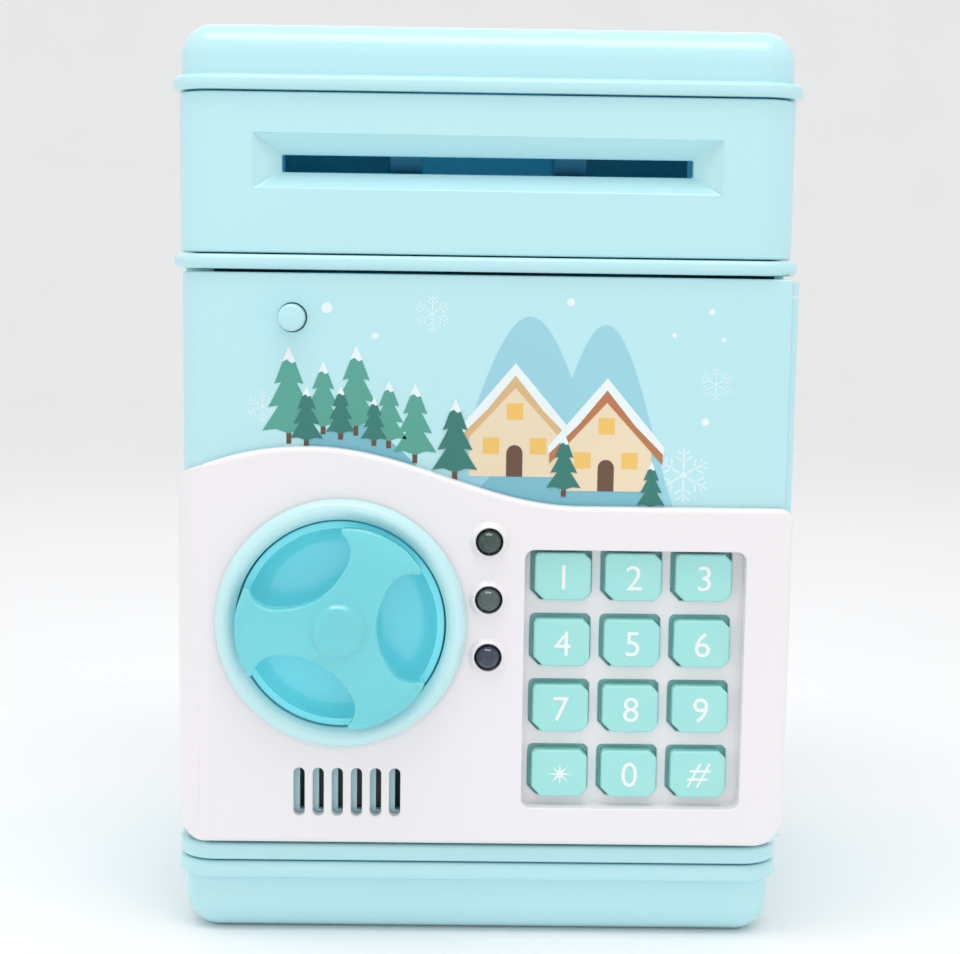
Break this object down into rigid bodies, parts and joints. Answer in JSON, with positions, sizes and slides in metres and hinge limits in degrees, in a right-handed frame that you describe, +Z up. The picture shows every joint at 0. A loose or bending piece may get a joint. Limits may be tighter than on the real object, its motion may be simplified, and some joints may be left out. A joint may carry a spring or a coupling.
{
  "type": "toy atm savings bank",
  "caption": "Free-standing toy cash-machine coin bank with a hinged safe door, turning dial, number keypad, lamps, speaker grille and a motorised note slot.",
  "frame": {"origin": "middle of the overall footprint, on the surface the bank stands on", "axes": "+Z up, -Y towards the front with the door and dial, +X to the right of someone facing the front"},
  "size_m": [0.1284, 0.12, 0.1885],
  "materials": {
    "case_plastic": "glossy moulded, pale blue",
    "fascia_plastic": "glossy moulded, white",
    "key_plastic": "glossy moulded, mint",
    "clear_plastic": "translucent cyan, glossy",
    "inner_plastic": "satin moulded, white",
    "guide_plastic": "glossy moulded, dark teal",
    "black_plastic": "matt black",
    "roller_rubber": "matt rubber, teal grey",
    "steel": "bright steel",
    "board": "green lacquered board",
    "led_lens": "clear tinted lamp",
    "cell_wrap": "printed sleeve, plain blue",
    "wire": "soft black insulation"
  },
  "bodies": {
    "root": {"base_tray": "case_plastic", "body_shell": "case_plastic", "head_shell": "case_plastic", "top_cap": "case_plastic", "feed_deck": "inner_plastic", "bill_guide": "guide_plastic", "coin_chute": "inner_plastic", "feed_motor": "steel", "note_sensor": "black_plastic", "battery_box": "black_plastic", "battery_cell_1": "cell_wrap", "battery_cell_2": "cell_wrap", "battery_cell_3": "cell_wrap", "hinge_pin": "steel", "case_screw_1": "steel", "case_screw_2": "steel", "case_screw_3": "steel", "case_screw_4": "steel", "wire_loom": "wire"},
    "door": {"door_panel": "case_plastic", "door_fascia": "fascia_plastic", "door_back_cover": "case_plastic", "dial_bezel": "case_plastic", "dial_dish": "clear_plastic", "lock_cover": "case_plastic", "lock_solenoid": "steel", "speaker": "black_plastic", "circuit_board": "board", "key_membrane": "roller_rubber", "status_led_1": "led_lens", "status_led_2": "led_lens", "status_led_3": "led_lens"},
    "dial": {"dial_knob": "clear_plastic", "dial_crank": "inner_plastic"},
    "bolt": {"latch_bolt": "inner_plastic"},
    "plunger": {"solenoid_plunger": "steel"},
    "enter_button": {"push_button": "case_plastic"},
    "feed_drive": {"drive_shaft": "steel", "drive_roller_left": "roller_rubber", "drive_roller_right": "roller_rubber", "roller_gear": "inner_plastic"},
    "feed_pinch": {"pinch_shaft": "steel", "pinch_roller_left": "roller_rubber", "pinch_roller_right": "roller_rubber"},
    "feed_idle": {"idle_gear": "inner_plastic"},
    "feed_pinion": {"motor_pinion": "steel"},
    "battery_lid": {"battery_cover": "case_plastic", "battery_cover_screw": "steel"},
    "key_1_cap": {"key_1": "key_plastic"},
    "key_2_cap": {"key_2": "key_plastic"},
    "key_3_cap": {"key_3": "key_plastic"},
    "key_4_cap": {"key_4": "key_plastic"},
    "key_5_cap": {"key_5": "key_plastic"},
    "key_6_cap": {"key_6": "key_plastic"},
    "key_7_cap": {"key_7": "key_plastic"},
    "key_8_cap": {"key_8": "key_plastic"},
    "key_9_cap": {"key_9": "key_plastic"},
    "key_star_cap": {"key_star": "key_plastic"},
    "key_0_cap": {"key_0": "key_plastic"},
    "key_hash_cap": {"key_hash": "key_plastic"}
  },
  "joints": [
    {"name": "door_hinge", "type": "hinge", "parent": "root", "child": "door", "pos_m": [0.062, -0.0425, 0.078], "axis": [0, 0, 1], "range_deg": [0, 105], "deforming": ["wire_loom"]},
    {"name": "dial_turn", "type": "hinge", "parent": "door", "child": "dial", "pos_m": [-0.029, -0.049, 0.0676], "axis": [0, 1, 0], "range_deg": [0, 90]},
    {"name": "bolt_slide", "type": "slide", "parent": "door", "child": "bolt", "axis": [-1, 0, 0], "range_m": [0, 0.00502]},
    {"name": "plunger_slide", "type": "slide", "parent": "door", "child": "plunger", "axis": [-1, 0, 0], "range_m": [0, 0.003], "stiffness_N_per_m": 60},
    {"name": "button_press", "type": "slide", "parent": "door", "child": "enter_button", "axis": [0, 1, 0], "range_m": [0, 0.0016], "stiffness_N_per_m": 400},
    {"name": "feed_drive_spin", "type": "hinge", "parent": "root", "child": "feed_drive", "pos_m": [0, -0.028, 0.1529], "axis": [1, 0, 0], "continuous": true},
    {"name": "feed_pinch_spin", "type": "hinge", "parent": "root", "child": "feed_pinch", "pos_m": [0, -0.028, 0.1665], "axis": [1, 0, 0], "continuous": true},
    {"name": "feed_idle_spin", "type": "hinge", "parent": "root", "child": "feed_idle", "pos_m": [0.0478, -0.0135, 0.152], "axis": [1, 0, 0], "continuous": true},
    {"name": "feed_pinion_spin", "type": "hinge", "parent": "root", "child": "feed_pinion", "pos_m": [0.0478, -0.0014, 0.1512], "axis": [1, 0, 0], "continuous": true},
    {"name": "battery_lid_lift", "type": "slide", "parent": "root", "child": "battery_lid", "axis": [0, 1, 0], "range_m": [0, 0.03]},
    {"name": "key_1_press", "type": "slide", "parent": "door", "child": "key_1_cap", "axis": [0, 1, 0], "range_m": [0, 0.0015], "stiffness_N_per_m": 400},
    {"name": "key_2_press", "type": "slide", "parent": "door", "child": "key_2_cap", "axis": [0, 1, 0], "range_m": [0, 0.0015], "stiffness_N_per_m": 400},
    {"name": "key_3_press", "type": "slide", "parent": "door", "child": "key_3_cap", "axis": [0, 1, 0], "range_m": [0, 0.0015], "stiffness_N_per_m": 400},
    {"name": "key_4_press", "type": "slide", "parent": "door", "child": "key_4_cap", "axis": [0, 1, 0], "range_m": [0, 0.0015], "stiffness_N_per_m": 400},
    {"name": "key_5_press", "type": "slide", "parent": "door", "child": "key_5_cap", "axis": [0, 1, 0], "range_m": [0, 0.0015], "stiffness_N_per_m": 400},
    {"name": "key_6_press", "type": "slide", "parent": "door", "child": "key_6_cap", "axis": [0, 1, 0], "range_m": [0, 0.0015], "stiffness_N_per_m": 400},
    {"name": "key_7_press", "type": "slide", "parent": "door", "child": "key_7_cap", "axis": [0, 1, 0], "range_m": [0, 0.0015], "stiffness_N_per_m": 400},
    {"name": "key_8_press", "type": "slide", "parent": "door", "child": "key_8_cap", "axis": [0, 1, 0], "range_m": [0, 0.0015], "stiffness_N_per_m": 400},
    {"name": "key_9_press", "type": "slide", "parent": "door", "child": "key_9_cap", "axis": [0, 1, 0], "range_m": [0, 0.0015], "stiffness_N_per_m": 400},
    {"name": "key_star_press", "type": "slide", "parent": "door", "child": "key_star_cap", "axis": [0, 1, 0], "range_m": [0, 0.0015], "stiffness_N_per_m": 400},
    {"name": "key_0_press", "type": "slide", "parent": "door", "child": "key_0_cap", "axis": [0, 1, 0], "range_m": [0, 0.0015], "stiffness_N_per_m": 400},
    {"name": "key_hash_press", "type": "slide", "parent": "door", "child": "key_hash_cap", "axis": [0, 1, 0], "range_m": [0, 0.0015], "stiffness_N_per_m": 400}
  ],
  "couplings": [
    {"joint": "bolt_slide", "follows": "dial_turn", "m_per_rad": 0.0031831},
    {"joint": "feed_pinch_spin", "follows": "feed_drive_spin", "ratio": -1},
    {"joint": "feed_idle_spin", "follows": "feed_drive_spin", "ratio": -0.8},
    {"joint": "feed_pinion_spin", "follows": "feed_drive_spin", "ratio": 1.6}
  ]
}
